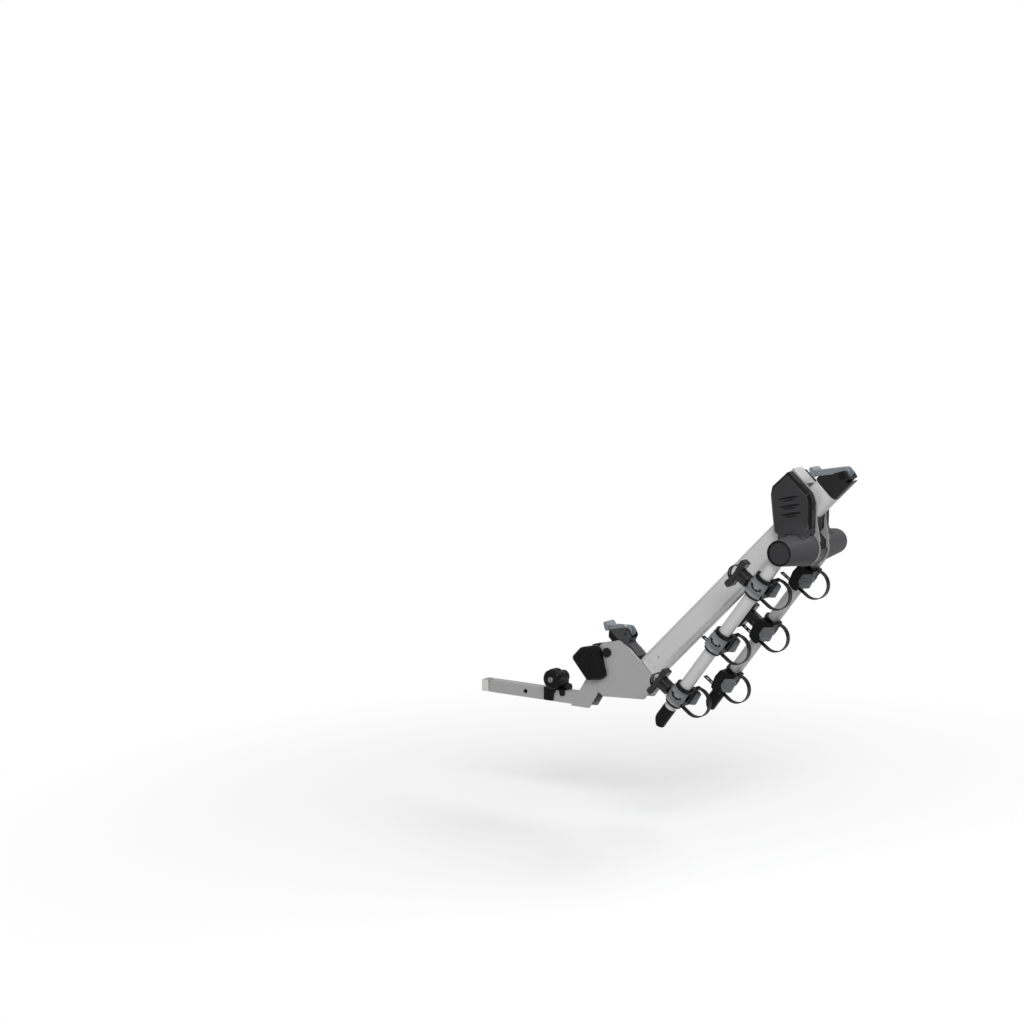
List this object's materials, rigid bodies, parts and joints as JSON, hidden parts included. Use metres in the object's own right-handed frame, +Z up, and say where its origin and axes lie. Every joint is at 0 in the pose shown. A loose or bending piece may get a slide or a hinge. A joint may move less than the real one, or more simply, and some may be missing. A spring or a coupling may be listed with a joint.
{
  "type": "hitch bike rack",
  "caption": "Hitch-mounted bicycle rack: a tilting mast on a square stinger carries two folding arms with strap cradles.",
  "frame": {"origin": "centre of the hitch pin bore in the stinger", "axes": "+X to the right of the vehicle along the hitch pin, +Y forward into the receiver, +Z up"},
  "size_m": [0.308, 1.069, 0.6648],
  "materials": {
    "silver_coated_steel": "satin silver powder coat",
    "silver_coated_tube": "satin silver powder coat",
    "dark_cover_plastic": "fine grained dark grey",
    "black_plastic": "fine grained black",
    "soft_black_plastic": "soft matt black",
    "strap_plastic": "flexible, slightly shiny black",
    "grey_plastic": "mid grey",
    "lever_plastic": "pale blue grey",
    "zinc_steel": "zinc plated",
    "black_bolt": "black plugs and screws"
  },
  "bodies": {
    "base": {"base_frame": "silver_coated_steel", "left_base_cover": "black_plastic", "right_base_cover": "black_plastic", "base_cover_screws": "black_bolt", "tilt_bolt": "black_bolt", "knob_saddle": "black_plastic"},
    "wedge": {"stinger_wedge": "zinc_steel"},
    "knob": {"clamp_knob": "black_plastic"},
    "lock": {"lock_barrel": "zinc_steel"},
    "mast": {"mast_tube": "silver_coated_tube", "left_foot_plate": "silver_coated_steel", "right_foot_plate": "silver_coated_steel", "foot_plate_pins": "silver_coated_steel", "tilt_stop": "silver_coated_steel", "foot_latch_housing": "black_plastic", "top_cap": "black_plastic", "lever_pins": "black_bolt", "mast_pad": "black_plastic"},
    "foot_lever": {"foot_lever": "lever_plastic"},
    "foot_rod": {"foot_latch_rod": "zinc_steel"},
    "top_lever": {"top_lever": "lever_plastic"},
    "fold_rod": {"fold_latch_rod": "zinc_steel"},
    "arms": {"hub_bracket": "silver_coated_steel", "fold_shaft": "zinc_steel", "hub_block": "black_plastic", "hub_guard": "dark_cover_plastic", "left_side_cover": "dark_cover_plastic", "right_side_cover": "dark_cover_plastic", "hub_tube": "zinc_steel", "left_hub_shell": "dark_cover_plastic", "right_hub_shell": "dark_cover_plastic", "hub_caps": "dark_cover_plastic", "left_arm": "silver_coated_tube", "right_arm": "silver_coated_tube", "arm_caps": "black_plastic", "collars": "grey_plastic", "cradle_left_1": "soft_black_plastic", "cradle_left_2": "soft_black_plastic", "cradle_left_3": "soft_black_plastic", "cradle_right_1": "soft_black_plastic", "cradle_right_2": "soft_black_plastic", "cradle_right_3": "soft_black_plastic", "strap_left_1": "strap_plastic", "strap_left_2": "strap_plastic", "strap_left_3": "strap_plastic", "strap_right_1": "strap_plastic", "strap_right_2": "strap_plastic", "strap_right_3": "strap_plastic"},
    "tab_left_1": {"tab_left_1": "grey_plastic"},
    "tab_left_2": {"tab_left_2": "grey_plastic"},
    "tab_left_3": {"tab_left_3": "grey_plastic"},
    "tab_right_1": {"tab_right_1": "grey_plastic"},
    "tab_right_2": {"tab_right_2": "grey_plastic"},
    "tab_right_3": {"tab_right_3": "grey_plastic"},
    "cage_left_1": {"cage_left_1": "soft_black_plastic", "cage_strap_left_1": "strap_plastic"},
    "cage_left_3": {"cage_left_3": "soft_black_plastic", "cage_strap_left_3": "strap_plastic"},
    "cage_right_2": {"cage_right_2": "soft_black_plastic", "cage_strap_right_2": "strap_plastic"}
  },
  "joints": [
    {"name": "mast_tilt", "type": "hinge", "parent": "base", "child": "mast", "pos_m": [0, -0.262, 0.1345], "axis": [-1, 0, 0], "range_deg": [0, 43]},
    {"name": "arm_fold", "type": "hinge", "parent": "mast", "child": "arms", "pos_m": [0, -0.81634, 0.54612], "axis": [-1, 0, 0], "range_deg": [0, 90]},
    {"name": "foot_lever_pull", "type": "hinge", "parent": "mast", "child": "foot_lever", "pos_m": [0, -0.30982, 0.18566], "axis": [1, 0, 0], "range_deg": [0, 28], "stiffness_Nm_per_rad": 1.5, "springref_deg": -17.19},
    {"name": "foot_latch_slide", "type": "slide", "parent": "mast", "child": "foot_rod", "axis": [0, -0.7034, 0.7108], "range_m": [0, 0.0065]},
    {"name": "top_lever_pull", "type": "hinge", "parent": "mast", "child": "top_lever", "pos_m": [0, -0.90361, 0.62506], "axis": [1, 0, 0], "range_deg": [0, 28], "stiffness_Nm_per_rad": 1.5, "springref_deg": -17.19},
    {"name": "fold_latch_slide", "type": "slide", "parent": "mast", "child": "fold_rod", "axis": [0, -0.7034, 0.7108], "range_m": [0, 0.0065]},
    {"name": "knob_turn", "type": "hinge", "parent": "base", "child": "knob", "pos_m": [0, -0.1, 0.047], "axis": [1, 0, 0], "range_deg": [0, 180]},
    {"name": "wedge_slide", "type": "slide", "parent": "base", "child": "wedge", "axis": [0, -1, 0], "range_m": [0, 0.004]},
    {"name": "lock_turn", "type": "hinge", "parent": "knob", "child": "lock", "pos_m": [0, -0.1, 0.047], "axis": [1, 0, 0], "range_deg": [0, 90]},
    {"name": "tab_left_1_press", "type": "hinge", "parent": "arms", "child": "tab_left_1", "pos_m": [-0.0904, -0.75565, 0.35974], "axis": [0, -0.5948, 0.8039], "range_deg": [0, 25], "stiffness_Nm_per_rad": 0.1, "springref_deg": -11.46},
    {"name": "tab_left_2_press", "type": "hinge", "parent": "arms", "child": "tab_left_2", "pos_m": [-0.0904, -0.64989, 0.21681], "axis": [0, -0.5948, 0.8039], "range_deg": [0, 25], "stiffness_Nm_per_rad": 0.1, "springref_deg": -11.46},
    {"name": "tab_left_3_press", "type": "hinge", "parent": "arms", "child": "tab_left_3", "pos_m": [-0.0904, -0.54413, 0.07388], "axis": [0, -0.5948, 0.8039], "range_deg": [0, 25], "stiffness_Nm_per_rad": 0.1, "springref_deg": -11.46},
    {"name": "tab_right_1_press", "type": "hinge", "parent": "arms", "child": "tab_right_1", "pos_m": [0.0904, -0.75565, 0.35974], "axis": [0, 0.5948, -0.8039], "range_deg": [0, 25], "stiffness_Nm_per_rad": 0.1, "springref_deg": -11.46},
    {"name": "tab_right_2_press", "type": "hinge", "parent": "arms", "child": "tab_right_2", "pos_m": [0.0904, -0.64989, 0.21681], "axis": [0, 0.5948, -0.8039], "range_deg": [0, 25], "stiffness_Nm_per_rad": 0.1, "springref_deg": -11.46},
    {"name": "tab_right_3_press", "type": "hinge", "parent": "arms", "child": "tab_right_3", "pos_m": [0.0904, -0.54413, 0.07388], "axis": [0, 0.5948, -0.8039], "range_deg": [0, 25], "stiffness_Nm_per_rad": 0.1, "springref_deg": -11.46},
    {"name": "cage_left_1_swivel", "type": "hinge", "parent": "arms", "child": "cage_left_1", "pos_m": [-0.127, -0.70793, 0.37763], "axis": [0, -0.8039, -0.5948], "range_deg": [-90, 90]},
    {"name": "cage_left_3_swivel", "type": "hinge", "parent": "arms", "child": "cage_left_3", "pos_m": [-0.127, -0.49641, 0.09178], "axis": [0, -0.8039, -0.5948], "range_deg": [-90, 90]},
    {"name": "cage_right_2_swivel", "type": "hinge", "parent": "arms", "child": "cage_right_2", "pos_m": [0.127, -0.60217, 0.2347], "axis": [0, -0.8039, -0.5948], "range_deg": [-90, 90]}
  ],
  "couplings": [
    {"joint": "foot_latch_slide", "follows": "foot_lever_pull", "m_per_rad": 0.013301},
    {"joint": "fold_latch_slide", "follows": "top_lever_pull", "m_per_rad": 0.013301},
    {"joint": "knob_turn", "follows": "wedge_slide", "rad_per_m": 785.39}
  ]
}
